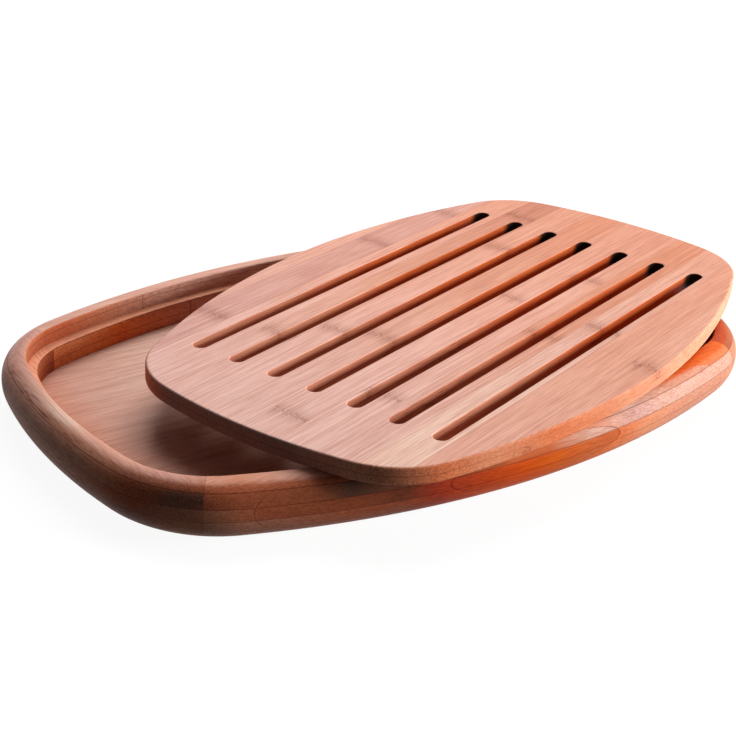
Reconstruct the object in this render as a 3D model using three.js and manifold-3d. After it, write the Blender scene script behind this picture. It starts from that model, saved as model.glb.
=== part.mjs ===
// Bread board of laminated bamboo: a slotted board that lies askew on the rim of its crumb tray.
// Lengths are in millimetres. X runs along the board's slots, Y across them and Z up.
// The origin is the middle of the tray's flat underside.
import * as THREE from "three";
import { mergeVertices } from "three/addons/utils/BufferGeometryUtils.js";
import Module from "manifold-3d";

const wasm = await Module();
wasm.setup();

const degrees = THREE.MathUtils.degToRad;

// Tray outline at its widest level: a rectangle with bowed sides, bowed ends and round corners
const trayLength = 420;
const trayWidth = 280;
const traySideRadius = 472;
const trayEndRadius = 316;
const trayCornerRadius = 72;

// Rim section: a small round at the foot, a wide bulge outside and a round up to a narrow flat crest
const trayHeight = 31;
const footRound = 8;
const footTurn = degrees(57);
const crestTurn = degrees(17);
const crestFlat = 1;
const crestEdgeRound = 1;

// Recess that the board drops into, and the ledge that carries it there
const endRailWidth = 13.4;
const sideRailWidth = 15.8;
const recessSideRadius = 459;
const recessEndRadius = 285;
const recessCornerRadius = 51;
const recessDepth = 9.6;
const ledgeWidth = 5.5;

// Floor panel, let into a rabbet under the rails. The share is how far the rails' foot reaches in
// towards the well's wall.
const floorThickness = 8.2;
const floorStripCount = 11;
const footShare = 0.3;

// Rails: layers glued flat. Each end rail fills a wedge of the rim that opens from a point on the X axis,
// so that its butt joints run about square to the rim.
const leftWedgeReach = 107.4;
const leftWedgeTurn = degrees(55.2);
const rightWedgeReach = 103.3;
const rightWedgeTurn = degrees(59.5);
const railPlyCount = 5;
const crestPlaning = 3.5;
const glueLine = 0.1;

// Board: two layers of strips, cut to the recess's outline, with the blank trimmed at its far and near edges
const boardFit = 0.5;
const boardThickness = 10;
const boardEdgeRound = 1.5;
const boardPlyNames = ["bottom", "top"];
const boardStripCount = 12;
const farTrim = 9.7;
const nearTrim = 5.7;

// Slots through the board, a little more than a strip's width apart
const slotCount = 7;
const slotWidth = 8.5;
const slotEndMargin = 51.6;
const slotPitchShare = 1.1826;

// How the board lies on the rim
const trayTurn = degrees(-19.33);
const boardShiftX = 42.7;
const boardShiftY = -24.9;
const restGap = 0.2;

// Facets of each arc in a quarter outline and in the rim's section, and how far cutting solids overrun
const endArcSteps = 5;
const cornerArcSteps = 9;
const sideArcSteps = 7;
const footSteps = 3;
const bulgeSteps = 6;
const crestSteps = 5;
const edgeSteps = 2;
const slotEndSteps = 7;
const overrun = 5;

// Sizes that follow from those above
const boardLength = trayLength - 2 * (endRailWidth + boardFit);
const boardWidth = trayWidth - 2 * (sideRailWidth + boardFit);
const ledgeHeight = trayHeight - recessDepth;
const railPly = (trayHeight + crestPlaning) / railPlyCount;
const boardPly = boardThickness / boardPlyNames.length;
const boardStrip = (boardWidth + farTrim + nearTrim) / boardStripCount;
const slotLength = boardLength - 2 * slotEndMargin;
const slotPitch = boardStrip * slotPitchShare;

// Tones of the bamboo, used in turn by neighbouring pieces
const bambooTones = [0xd9a583, 0xcf9673, 0xe0b090, 0xc98b66];

// Outlines

// One arc as points with outward normals, without its last point.
function arcPoints(centre, radius, from, to, steps) {
  const points = [];
  for (let i = 0; i < steps; i++) {
    const turn = from + ((to - from) * i) / steps;
    const normal = new THREE.Vector2(1, 0).rotateAround(new THREE.Vector2(), turn);
    points.push({ point: normal.clone().multiplyScalar(radius).add(centre), normal });
  }
  return points;
}

// Bowed rectangle with round corners, anticlockwise from the +X axis.
// The corner's arc is tangent to the end's arc, centred on X, and to the side's arc, centred on Y.
function bowedOutline(length, width, sideRadius, endRadius, cornerRadius) {
  const endCentre = new THREE.Vector2(length / 2 - endRadius, 0);
  const sideCentre = new THREE.Vector2(0, width / 2 - sideRadius);
  const toEnd = endRadius - cornerRadius;
  const toSide = sideRadius - cornerRadius;
  const between = sideCentre.clone().sub(endCentre);
  const span = between.length();
  const along = (toEnd ** 2 - toSide ** 2 + span ** 2) / (2 * span);
  const across = Math.sqrt(toEnd ** 2 - along ** 2);
  const unit = between.divideScalar(span);
  const cornerCentre = endCentre
    .clone()
    .addScaledVector(unit, along)
    .addScaledVector(new THREE.Vector2(-unit.y, unit.x), across);
  const endAngle = cornerCentre.clone().sub(endCentre).angle();
  const sideAngle = cornerCentre.clone().sub(sideCentre).angle();
  const quarterTurn = Math.PI / 2;
  const quarter = [
    ...arcPoints(endCentre, endRadius, 0, endAngle, endArcSteps),
    ...arcPoints(cornerCentre, cornerRadius, endAngle, sideAngle, cornerArcSteps),
    ...arcPoints(sideCentre, sideRadius, sideAngle, quarterTurn, sideArcSteps),
    { point: new THREE.Vector2(0, width / 2), normal: new THREE.Vector2(0, 1) },
  ];
  const mirrored = (signX, signY) =>
    quarter.map(({ point, normal }) => ({
      point: new THREE.Vector2(point.x * signX, point.y * signY),
      normal: new THREE.Vector2(normal.x * signX, normal.y * signY),
    }));
  return [
    ...mirrored(1, 1).slice(0, -1),
    ...mirrored(-1, 1).reverse().slice(0, -1),
    ...mirrored(-1, -1).slice(0, -1),
    ...mirrored(1, -1).reverse().slice(0, -1),
  ];
}

// The outline moved out by an offset, at a height.
function ring(outline, offset, height) {
  return outline.map(
    ({ point, normal }) =>
      new THREE.Vector3(point.x + normal.x * offset, point.y + normal.y * offset, height),
  );
}

// Solids

// A skin through rings of equal count: a closed loop of rings, or a stack with flat ends.
function skin(rings, isLoop) {
  const count = rings[0].length;
  const positions = rings.flat().flatMap((p) => [p.x, p.y, p.z]);
  const index = [];
  const last = isLoop ? rings.length : rings.length - 1;
  for (let r = 0; r < last; r++) {
    const low = r * count;
    const high = ((r + 1) % rings.length) * count;
    for (let i = 0; i < count; i++) {
      const j = (i + 1) % count;
      index.push(low + i, low + j, high + j, low + i, high + j, high + i);
    }
  }
  if (!isLoop) {
    const top = (rings.length - 1) * count;
    for (let i = 1; i < count - 1; i++) {
      index.push(0, i + 1, i, top, top + i, top + i + 1);
    }
  }
  const geometry = new THREE.BufferGeometry();
  geometry.setAttribute("position", new THREE.Float32BufferAttribute(positions, 3));
  geometry.setIndex(index);
  return geometry;
}

function solidOf(geometry) {
  geometry.deleteAttribute("normal");
  geometry.deleteAttribute("uv");
  const merged = mergeVertices(geometry);
  return new wasm.Manifold(
    new wasm.Mesh({
      numProp: 3,
      vertProperties: merged.attributes.position.array,
      triVerts: new Uint32Array(merged.index.array),
    }),
  );
}

// A block between two corners.
function block(low, high) {
  const size = new THREE.Vector3().subVectors(high, low);
  const middle = new THREE.Vector3().addVectors(high, low).divideScalar(2);
  const geometry = new THREE.BoxGeometry(size.x, size.y, size.z);
  geometry.translate(middle.x, middle.y, middle.z);
  return solidOf(geometry);
}

function pieceOf(name, solid, tone) {
  const { vertProperties, triVerts } = solid.getMesh();
  const geometry = new THREE.BufferGeometry();
  geometry.setAttribute("position", new THREE.BufferAttribute(vertProperties, 3));
  geometry.setIndex(new THREE.BufferAttribute(triVerts, 1));
  geometry.computeVertexNormals();
  const colour = bambooTones[tone % bambooTones.length];
  const material = new THREE.MeshStandardMaterial({ color: colour, roughness: 0.55, metalness: 0 });
  const mesh = new THREE.Mesh(geometry, material);
  mesh.name = name;
  return mesh;
}

// Rim of the tray

// The bulge's and the crest's radii make the section as high as the tray and end at the crest's flat.
function rimRadii() {
  const height = trayHeight - footRound * (1 - Math.sin(footTurn));
  const inset = endRailWidth - crestEdgeRound - crestFlat;
  const heightPerBulge = Math.sin(footTurn) + Math.sin(crestTurn);
  const heightPerCrest = 1 - Math.sin(crestTurn);
  const insetPerBulge = 1 - Math.cos(crestTurn);
  const insetPerCrest = Math.cos(crestTurn);
  const determinant = heightPerBulge * insetPerCrest - heightPerCrest * insetPerBulge;
  return {
    bulge: (height * insetPerCrest - inset * heightPerCrest) / determinant,
    crest: (inset * heightPerBulge - height * insetPerBulge) / determinant,
  };
}

// Points of the rim's outer face from the foot to the crest, as offsets from the tray's outline and heights.
function outerSection() {
  const { bulge, crest } = rimRadii();
  const widest = footRound * (1 - Math.sin(footTurn)) + bulge * Math.sin(footTurn);
  const arcs = [
    { radius: footRound, from: -Math.PI / 2, to: -footTurn, steps: footSteps, joins: -footTurn },
    { radius: bulge, from: -footTurn, to: crestTurn, steps: bulgeSteps, joins: 0 },
    { radius: crest, from: crestTurn, to: Math.PI / 2, steps: crestSteps, joins: crestTurn },
  ];
  const points = [];
  for (const { radius, from, to, steps, joins } of arcs) {
    const centreOffset = -bulge + (bulge - radius) * Math.cos(joins);
    const centreHeight = widest + (bulge - radius) * Math.sin(joins);
    const isLastArc = to === Math.PI / 2;
    for (let i = 0; i < steps + (isLastArc ? 1 : 0); i++) {
      const turn = from + ((to - from) * i) / steps;
      points.push({
        offset: centreOffset + radius * Math.cos(turn),
        height: centreHeight + radius * Math.sin(turn),
      });
    }
  }
  return points;
}

const trayOutline = bowedOutline(trayLength, trayWidth, traySideRadius, trayEndRadius, trayCornerRadius);
const recessOutline = bowedOutline(
  trayLength - 2 * endRailWidth,
  trayWidth - 2 * sideRailWidth,
  recessSideRadius,
  recessEndRadius,
  recessCornerRadius,
);
const outerFace = outerSection();

// The rabbet's edge lies part of the way from the foot's round to the wall of the well.
function rabbetRing(inset, height) {
  const foot = ring(trayOutline, outerFace[0].offset, height);
  const wall = ring(recessOutline, -ledgeWidth, height);
  return foot.map((point, i) => {
    const { normal } = recessOutline[i];
    return point
      .clone()
      .lerp(wall[i], footShare)
      .sub(new THREE.Vector3(normal.x, normal.y, 0).multiplyScalar(inset));
  });
}

function rimSolid() {
  const rings = outerFace.map(({ offset, height }) => ring(trayOutline, offset, height));
  for (let i = 0; i <= edgeSteps; i++) {
    const turn = (Math.PI / 2) * (i / edgeSteps);
    const offset = crestEdgeRound * (1 - Math.sin(turn));
    rings.push(ring(recessOutline, offset, trayHeight - crestEdgeRound * (1 - Math.cos(turn))));
  }
  rings.push(ring(recessOutline, 0, ledgeHeight));
  rings.push(ring(recessOutline, -ledgeWidth, ledgeHeight));
  rings.push(ring(recessOutline, -ledgeWidth, floorThickness));
  rings.push(rabbetRing(0, floorThickness));
  rings.push(rabbetRing(0, 0));
  return solidOf(skin(rings, true));
}

// Wedge that opens towards one end of the tray and is wider by a margin.
// The side is -1 at the left and 1 at the right.
function endWedge(side, reach, turn, margin) {
  const tip = side * (trayLength / 2 - reach - margin / Math.sin(turn));
  const farX = side * (trayLength / 2 + overrun);
  const farY = Math.abs(farX - tip) * Math.tan(turn);
  const triangle = (height) => [
    new THREE.Vector3(tip, 0, height),
    new THREE.Vector3(farX, -side * farY, height),
    new THREE.Vector3(farX, side * farY, height),
  ];
  return solidOf(skin([triangle(-overrun), triangle(trayHeight + overrun)], false));
}

function railPieces() {
  const rim = rimSolid();
  const wedges = (margin) => [
    endWedge(-1, leftWedgeReach, leftWedgeTurn, margin),
    endWedge(1, rightWedgeReach, rightWedgeTurn, margin),
  ];
  const [left, right] = wedges(0).map((wedge) => rim.intersect(wedge));
  const sides = wedges(glueLine).reduce((rest, wedge) => rest.subtract(wedge), rim);
  const [front, back] = sides.splitByPlane([0, -1, 0], 0);
  const rails = {
    end_rail_left: left,
    end_rail_right: right,
    side_rail_front: front,
    side_rail_back: back,
  };
  return Object.entries(rails).flatMap(([name, rail], side) =>
    Array.from({ length: railPlyCount }, (_, layer) => {
      const layerBlock = block(
        new THREE.Vector3(-trayLength, -trayWidth, layer * railPly),
        new THREE.Vector3(trayLength, trayWidth, (layer + 1) * railPly),
      );
      return pieceOf(`${name}_ply_${layer + 1}`, rail.intersect(layerBlock), side + layer);
    }),
  );
}

// Floor of the tray
function floorPieces() {
  const panel = solidOf(skin([rabbetRing(glueLine, 0), rabbetRing(glueLine, floorThickness)], false));
  const panelHalfWidth = Math.max(...rabbetRing(glueLine, 0).map((point) => point.y));
  const strip = (2 * panelHalfWidth) / floorStripCount;
  return Array.from({ length: floorStripCount }, (_, i) => {
    const near = i * strip - panelHalfWidth;
    const stripBlock = block(
      new THREE.Vector3(-trayLength, near + glueLine / 2, -overrun),
      new THREE.Vector3(trayLength, near + strip - glueLine / 2, trayHeight),
    );
    return pieceOf(`floor_strip_${i + 1}`, panel.intersect(stripBlock), i);
  });
}

// Board

// The board's underside is at height 0 here. Its outline is the recess's, smaller by the fit all round.
function boardBlank() {
  const rings = [];
  for (let i = 0; i <= edgeSteps; i++) {
    const turn = (Math.PI / 2) * (i / edgeSteps);
    const inset = boardFit + boardEdgeRound * (1 - Math.sin(turn));
    rings.push(ring(recessOutline, -inset, boardEdgeRound * (1 - Math.cos(turn))));
  }
  const upper = rings.map((low) => low.map((p) => new THREE.Vector3(p.x, p.y, boardThickness - p.z)));
  return solidOf(skin([...rings, ...upper.reverse()], false));
}

function slotCutter(centreY) {
  const radius = slotWidth / 2;
  const reach = slotLength / 2 - radius;
  const shape = new THREE.Shape();
  shape.absarc(reach, centreY, radius, -Math.PI / 2, Math.PI / 2, false);
  shape.absarc(-reach, centreY, radius, Math.PI / 2, (3 * Math.PI) / 2, false);
  const depth = boardThickness + 2 * overrun;
  const geometry = new THREE.ExtrudeGeometry(shape, {
    depth,
    bevelEnabled: false,
    curveSegments: slotEndSteps,
  });
  geometry.translate(0, 0, -overrun);
  return solidOf(geometry);
}

function boardPieces() {
  let slotted = boardBlank();
  for (let i = 0; i < slotCount; i++) {
    slotted = slotted.subtract(slotCutter((i - (slotCount - 1) / 2) * slotPitch));
  }
  return boardPlyNames.flatMap((plyName, layer) =>
    Array.from({ length: boardStripCount }, (_, i) => {
      const near = i * boardStrip - boardWidth / 2 - nearTrim;
      const stripBlock = block(
        new THREE.Vector3(-boardLength, near, layer * boardPly),
        new THREE.Vector3(boardLength, near + boardStrip, (layer + 1) * boardPly),
      );
      const tone = i + 2 * layer;
      return pieceOf(`board_${plyName}_strip_${i + 1}`, slotted.intersect(stripBlock), tone);
    }),
  );
}

// Assembly
const tray = new THREE.Group();
tray.add(...railPieces(), ...floorPieces());
tray.rotation.z = trayTurn;

const board = new THREE.Group();
board.add(...boardPieces());
board.position.set(boardShiftX, boardShiftY, trayHeight + restGap);

const group = new THREE.Group();
group.add(tray, board);

export default group;
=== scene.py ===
# Looks of a slotted bamboo bread board that lies askew on the rim of its crumb tray.
# Lengths are in millimetres until a mesh is written; the camera and the studio are in metres.
import math

import bmesh
import bpy
from mathutils import Matrix, Vector


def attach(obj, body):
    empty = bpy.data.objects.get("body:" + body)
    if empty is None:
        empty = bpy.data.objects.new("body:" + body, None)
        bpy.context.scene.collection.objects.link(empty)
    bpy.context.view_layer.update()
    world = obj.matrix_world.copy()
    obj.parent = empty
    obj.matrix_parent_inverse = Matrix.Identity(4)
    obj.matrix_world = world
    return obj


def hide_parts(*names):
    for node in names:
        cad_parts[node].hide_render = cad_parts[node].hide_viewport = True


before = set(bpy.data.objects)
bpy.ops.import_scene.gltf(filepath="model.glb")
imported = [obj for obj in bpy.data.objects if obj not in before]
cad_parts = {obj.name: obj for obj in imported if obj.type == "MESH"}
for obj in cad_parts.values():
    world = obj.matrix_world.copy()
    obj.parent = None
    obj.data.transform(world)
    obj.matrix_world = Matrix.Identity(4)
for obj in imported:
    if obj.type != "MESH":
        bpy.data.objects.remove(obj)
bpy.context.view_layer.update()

MM = 0.001
QUARTER_TURN = math.pi / 2
ORIGIN = (0, 0, 0)

# Sizes of the tray, as in the part
TRAY_LENGTH = 420
TRAY_WIDTH = 280
TRAY_HEIGHT = 31
TRAY_SIDE_RADIUS = 472
TRAY_END_RADIUS = 316
TRAY_CORNER_RADIUS = 72
FOOT_ROUND = 8
FOOT_TURN = math.radians(57)
CREST_TURN = math.radians(17)
CREST_FLAT = 1
CREST_EDGE_ROUND = 1
END_RAIL_WIDTH = 13.4
SIDE_RAIL_WIDTH = 15.8
RECESS_SIDE_RADIUS = 459
RECESS_END_RADIUS = 285
RECESS_CORNER_RADIUS = 51
RECESS_DEPTH = 9.6
LEDGE_WIDTH = 5.5
LEDGE_HEIGHT = TRAY_HEIGHT - RECESS_DEPTH
FLOOR_THICKNESS = 8.2
FLOOR_STRIPS = 11
FOOT_SHARE = 0.3
RAIL_PLIES = 5
CREST_PLANING = 3.5
RAIL_PLY = (TRAY_HEIGHT + CREST_PLANING) / RAIL_PLIES
GLUE_LINE = 0.1

# Wedges that the end rails fill: side of the tray, distance of the tip from that end, and half angle
LEFT_WEDGE = (-1, 107.4, math.radians(55.2))
RIGHT_WEDGE = (1, 103.3, math.radians(59.5))

# Sizes of the board, as in the part
BOARD_FIT = 0.5
BOARD_THICKNESS = 10
BOARD_EDGE_ROUND = 1.5
BOARD_STRIPS = 12
FAR_TRIM = 9.7
NEAR_TRIM = 5.7
SLOTS = 7
SLOT_WIDTH = 8.5
SLOT_END_MARGIN = 51.6
SLOT_PITCH_SHARE = 1.1826
BOARD_LENGTH = TRAY_LENGTH - 2 * (END_RAIL_WIDTH + BOARD_FIT)
BOARD_WIDTH = TRAY_WIDTH - 2 * (SIDE_RAIL_WIDTH + BOARD_FIT)
BOARD_STRIP = (BOARD_WIDTH + FAR_TRIM + NEAR_TRIM) / BOARD_STRIPS
SLOT_PITCH = BOARD_STRIP * SLOT_PITCH_SHARE

# How the board lies on the tray
TRAY_TURN = math.radians(-19.33)
REST_GAP = 0.2
BOARD_AT = Vector((42.7, -24.9, TRAY_HEIGHT + REST_GAP))

# Small rounds that only the looks have
LEDGE_ROUND = 0.7
ROOT_ROUND = 0.4
SLOT_EDGE_ROUND = 0.6

# Facets of each arc in a quarter outline, in the rim's section and in the small rounds
END_ARC_STEPS = 16
CORNER_ARC_STEPS = 32
SIDE_ARC_STEPS = 22
FOOT_STEPS = 6
BULGE_STEPS = 18
CREST_STEPS = 16
BOARD_EDGE_STEPS = 6
SLOT_END_STEPS = 24
SMALL_ROUND_STEPS = 4

# Turns in a section, from which small rounds start and to which they run
LEVEL = 0
UP = QUARTER_TURN
DOWN = -QUARTER_TURN

# How far a point may lie from a cutting plane and still count as on it
CUT_TOLERANCE = 1e-5


# Outlines

def arc(centre, radius, start, end, steps):
    """Points of an arc with their outward normals, without the last point."""
    points = []
    for i in range(steps):
        turn = start + (end - start) * i / steps
        normal = Vector((math.cos(turn), math.sin(turn)))
        points.append((centre + normal * radius, normal))
    return points


def bowed_outline(length, width, side_radius, end_radius, corner_radius):
    """Rectangle with bowed sides and ends and round corners, anticlockwise from the +X axis."""
    end_centre = Vector((length / 2 - end_radius, 0))
    side_centre = Vector((0, width / 2 - side_radius))
    to_end = end_radius - corner_radius
    to_side = side_radius - corner_radius
    between = side_centre - end_centre
    span = between.length
    along = (to_end**2 - to_side**2 + span**2) / (2 * span)
    across = math.sqrt(to_end**2 - along**2)
    unit = between / span
    corner_centre = end_centre + unit * along + Vector((-unit.y, unit.x)) * across
    to_corner = corner_centre - end_centre
    from_side = corner_centre - side_centre
    end_angle = math.atan2(to_corner.y, to_corner.x)
    side_angle = math.atan2(from_side.y, from_side.x)
    quarter = (
        arc(end_centre, end_radius, 0, end_angle, END_ARC_STEPS)
        + arc(corner_centre, corner_radius, end_angle, side_angle, CORNER_ARC_STEPS)
        + arc(side_centre, side_radius, side_angle, QUARTER_TURN, SIDE_ARC_STEPS)
        + [(Vector((0, width / 2)), Vector((0, 1)))]
    )

    def mirrored(sx, sy):
        return [(Vector((p.x * sx, p.y * sy)), Vector((n.x * sx, n.y * sy))) for p, n in quarter]

    return (
        mirrored(1, 1)[:-1]
        + mirrored(-1, 1)[::-1][:-1]
        + mirrored(-1, -1)[:-1]
        + mirrored(1, -1)[::-1][:-1]
    )


def ring(outline, offset, height):
    """The outline moved out by an offset, at a height."""
    return [Vector((p.x + n.x * offset, p.y + n.y * offset, height)) for p, n in outline]


def round_over(start, end, radius, steps=SMALL_ROUND_STEPS):
    """Places along a round in a section, from its centre."""
    turns = [start + (end - start) * i / steps for i in range(steps + 1)]
    return [(radius * math.cos(t), radius * math.sin(t)) for t in turns]


TRAY_OUTLINE = bowed_outline(
    TRAY_LENGTH, TRAY_WIDTH, TRAY_SIDE_RADIUS, TRAY_END_RADIUS, TRAY_CORNER_RADIUS
)
RECESS_OUTLINE = bowed_outline(
    TRAY_LENGTH - 2 * END_RAIL_WIDTH,
    TRAY_WIDTH - 2 * SIDE_RAIL_WIDTH,
    RECESS_SIDE_RADIUS,
    RECESS_END_RADIUS,
    RECESS_CORNER_RADIUS,
)


# Meshes

def area_normals(bm):
    """Keeps each vertex's normal, weighted by its faces' areas, so that flats stay flat beside rounds."""
    layer = bm.verts.layers.float_vector.new("kept_normal")
    bm.normal_update()
    for vert in bm.verts:
        total = Vector(ORIGIN)
        for face in vert.link_faces:
            total += face.normal * face.calc_area()
        vert[layer] = total.normalized()


def looped(rings):
    """A closed tube of rings."""
    bm = bmesh.new()
    rows = [[bm.verts.new(p) for p in points] for points in rings]
    count = len(rows[0])
    for low, high in zip(rows, rows[1:] + rows[:1]):
        for i in range(count):
            j = (i + 1) % count
            bm.faces.new((low[i], low[j], high[j], high[i]))
    return bm


def walls(bm, rings, inward=False):
    """Side faces through open rings. Returns the first and last ring's edges."""
    rows = [[bm.verts.new(p) for p in points] for points in rings]
    count = len(rows[0])
    for low, high in zip(rows, rows[1:]):
        for i in range(count):
            j = (i + 1) % count
            corners = (low[i], low[j], high[j], high[i])
            bm.faces.new(corners[::-1] if inward else corners)
    ends = []
    for row in (rows[0], rows[-1]):
        ends.append([bm.edges.get((row[i], row[(i + 1) % count])) for i in range(count)])
    return ends


def fill(bm, edges, normal):
    """Flat faces over the loops of edges, with holes left where a loop lies in another."""
    made = bmesh.ops.triangle_fill(
        bm, use_beauty=True, use_dissolve=False, edges=edges, normal=normal
    )
    faces = [item for item in made["geom"] if isinstance(item, bmesh.types.BMFace)]
    for face in faces:
        face.normal_update()
        if face.normal.dot(normal) < 0:
            face.normal_flip()
    return faces


def cut(bm, point, normal):
    """Takes away what lies on the normal's side of a plane and closes the cut."""
    cap = bm.faces.layers.int.get("cap") or bm.faces.layers.int.new("cap")
    bmesh.ops.bisect_plane(
        bm,
        geom=bm.verts[:] + bm.edges[:] + bm.faces[:],
        dist=CUT_TOLERANCE,
        plane_co=point,
        plane_no=normal,
        clear_outer=True,
    )
    open_edges = [edge for edge in bm.edges if edge.is_boundary]
    for face in fill(bm, open_edges, Vector(normal)):
        face[cap] = 1


def written(bm, node, turn, move):
    """The mesh as an object in the row frame, with the kept normals on all but the cut faces."""
    bmesh.ops.triangulate(bm, faces=[f for f in bm.faces if len(f.verts) > 4])
    spin = Matrix.Rotation(turn, 3, "Z")
    kept = bm.verts.layers.float_vector["kept_normal"]
    cap = bm.faces.layers.int.get("cap")
    bm.normal_update()
    normals = []
    for face in bm.faces:
        is_cap = cap is not None and face[cap]
        for vert in face.verts:
            normal = face.normal if is_cap else vert[kept]
            normals.append((spin @ normal).normalized())
    for vert in bm.verts:
        vert.co = (spin @ vert.co + Vector(move)) * MM
    name = node + ".bamboo"
    mesh = bpy.data.meshes.new(name)
    bm.to_mesh(mesh)
    bm.free()
    mesh.polygons.foreach_set("use_smooth", [True] * len(mesh.polygons))
    mesh.normals_split_custom_set(normals)
    for layer in ("kept_normal", "cap"):
        if layer in mesh.attributes:
            mesh.attributes.remove(mesh.attributes[layer])
    piece = bpy.data.objects.new(name, mesh)
    bpy.context.scene.collection.objects.link(piece)
    return piece


# Rim of the tray

def rim_radii():
    """Radii of the bulge and of the round that runs up to the crest, from the rim's height and width."""
    height = TRAY_HEIGHT - FOOT_ROUND * (1 - math.sin(FOOT_TURN))
    inset = END_RAIL_WIDTH - CREST_EDGE_ROUND - CREST_FLAT
    height_per_bulge = math.sin(FOOT_TURN) + math.sin(CREST_TURN)
    height_per_crest = 1 - math.sin(CREST_TURN)
    inset_per_bulge = 1 - math.cos(CREST_TURN)
    inset_per_crest = math.cos(CREST_TURN)
    determinant = height_per_bulge * inset_per_crest - height_per_crest * inset_per_bulge
    bulge = (height * inset_per_crest - inset * height_per_crest) / determinant
    crest = (inset * height_per_bulge - height * inset_per_bulge) / determinant
    return bulge, crest


def outer_section():
    """Offsets and heights of the rim's outer face, from the foot to the crest."""
    bulge, crest = rim_radii()
    widest = FOOT_ROUND * (1 - math.sin(FOOT_TURN)) + bulge * math.sin(FOOT_TURN)
    arcs = (
        (FOOT_ROUND, DOWN, -FOOT_TURN, FOOT_STEPS, -FOOT_TURN),
        (bulge, -FOOT_TURN, CREST_TURN, BULGE_STEPS, 0),
        (crest, CREST_TURN, UP, CREST_STEPS, CREST_TURN),
    )
    points = []
    for radius, start, end, steps, joins in arcs:
        centre_offset = -bulge + (bulge - radius) * math.cos(joins)
        centre_height = widest + (bulge - radius) * math.sin(joins)
        count = steps + 1 if end == UP else steps
        for i in range(count):
            turn = start + (end - start) * i / steps
            offset = centre_offset + radius * math.cos(turn)
            points.append((offset, centre_height + radius * math.sin(turn)))
    return points


OUTER_FACE = outer_section()


def rabbet_ring(inset, height):
    """The rabbet's edge, part of the way from the rim's foot to the wall of the well."""
    foot = ring(TRAY_OUTLINE, OUTER_FACE[0][0], height)
    wall = ring(RECESS_OUTLINE, -LEDGE_WIDTH, height)
    return [
        a.lerp(b, FOOT_SHARE) - Vector((n.x, n.y, 0)) * inset
        for a, b, (_, n) in zip(foot, wall, RECESS_OUTLINE)
    ]


def rim():
    """The whole rim before it is cut into rails and layers."""
    rings = [ring(TRAY_OUTLINE, offset, height) for offset, height in OUTER_FACE]
    for c, s in round_over(UP, LEVEL, CREST_EDGE_ROUND):
        height = TRAY_HEIGHT - CREST_EDGE_ROUND + s
        rings.append(ring(RECESS_OUTLINE, CREST_EDGE_ROUND - c, height))
    for c, s in round_over(LEVEL, DOWN, ROOT_ROUND):
        height = LEDGE_HEIGHT + ROOT_ROUND + s
        rings.append(ring(RECESS_OUTLINE, -ROOT_ROUND + c, height))
    for c, s in round_over(UP, LEVEL, LEDGE_ROUND):
        height = LEDGE_HEIGHT - LEDGE_ROUND + s
        rings.append(ring(RECESS_OUTLINE, -LEDGE_WIDTH + LEDGE_ROUND - c, height))
    rings.append(ring(RECESS_OUTLINE, -LEDGE_WIDTH, FLOOR_THICKNESS))
    rings.append(rabbet_ring(0, FLOOR_THICKNESS))
    rings.append(rabbet_ring(0, 0))
    bm = looped(rings)
    area_normals(bm)
    return bm


def wedge_planes(wedge, margin):
    """Tip of an end rail's wedge, moved in by a margin, and the outward normals of its two joints."""
    side, reach, half_angle = wedge
    tip = (side * (TRAY_LENGTH / 2 - reach - margin / math.sin(half_angle)), 0, 0)
    front = Vector((-side * math.sin(half_angle), -math.cos(half_angle), 0))
    back = Vector((-side * math.sin(half_angle), math.cos(half_angle), 0))
    return tip, front, back


def rail_pieces():
    """The rails, cut from the rim at the butt joints and between the layers."""
    cuts = {
        "side_rail_front": [(ORIGIN, (0, 1, 0))],
        "side_rail_back": [(ORIGIN, (0, -1, 0))],
    }
    for name, wedge in (("end_rail_left", LEFT_WEDGE), ("end_rail_right", RIGHT_WEDGE)):
        tip, front, back = wedge_planes(wedge, 0)
        cuts[name] = [(tip, front), (tip, back)]
        tip, front, back = wedge_planes(wedge, GLUE_LINE)
        cuts["side_rail_front"].append((tip, -front))
        cuts["side_rail_back"].append((tip, -back))
    whole = rim()
    pieces = {}
    for rail, planes in cuts.items():
        side = whole.copy()
        for point, normal in planes:
            cut(side, point, normal)
        for layer in range(RAIL_PLIES):
            bm = side.copy()
            if layer > 0:
                cut(bm, (0, 0, layer * RAIL_PLY), (0, 0, -1))
            if layer < RAIL_PLIES - 1:
                cut(bm, (0, 0, (layer + 1) * RAIL_PLY), (0, 0, 1))
            node = f"{rail}_ply_{layer + 1}"
            pieces[node] = written(bm, node, TRAY_TURN, ORIGIN)
        side.free()
    whole.free()
    return pieces


def floor_pieces():
    """The floor panel's strips."""
    panel = bmesh.new()
    bottom, top = walls(panel, [rabbet_ring(GLUE_LINE, 0), rabbet_ring(GLUE_LINE, FLOOR_THICKNESS)])
    fill(panel, bottom, Vector((0, 0, -1)))
    fill(panel, top, Vector((0, 0, 1)))
    area_normals(panel)
    cap = panel.faces.layers.int.new("cap")
    for face in panel.faces:
        face[cap] = 1
    half = max(p.y for p in rabbet_ring(GLUE_LINE, 0))
    strip = 2 * half / FLOOR_STRIPS
    pieces = {}
    for i in range(FLOOR_STRIPS):
        near = i * strip - half
        bm = panel.copy()
        cut(bm, (0, near + GLUE_LINE / 2, 0), (0, -1, 0))
        cut(bm, (0, near + strip - GLUE_LINE / 2, 0), (0, 1, 0))
        node = f"floor_strip_{i + 1}"
        pieces[node] = written(bm, node, TRAY_TURN, ORIGIN)
    panel.free()
    return pieces


# Board

def strip_edge(i):
    """Place of the near edge of a board strip, counted from 0, across the slots."""
    return i * BOARD_STRIP - BOARD_WIDTH / 2 - NEAR_TRIM


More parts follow.
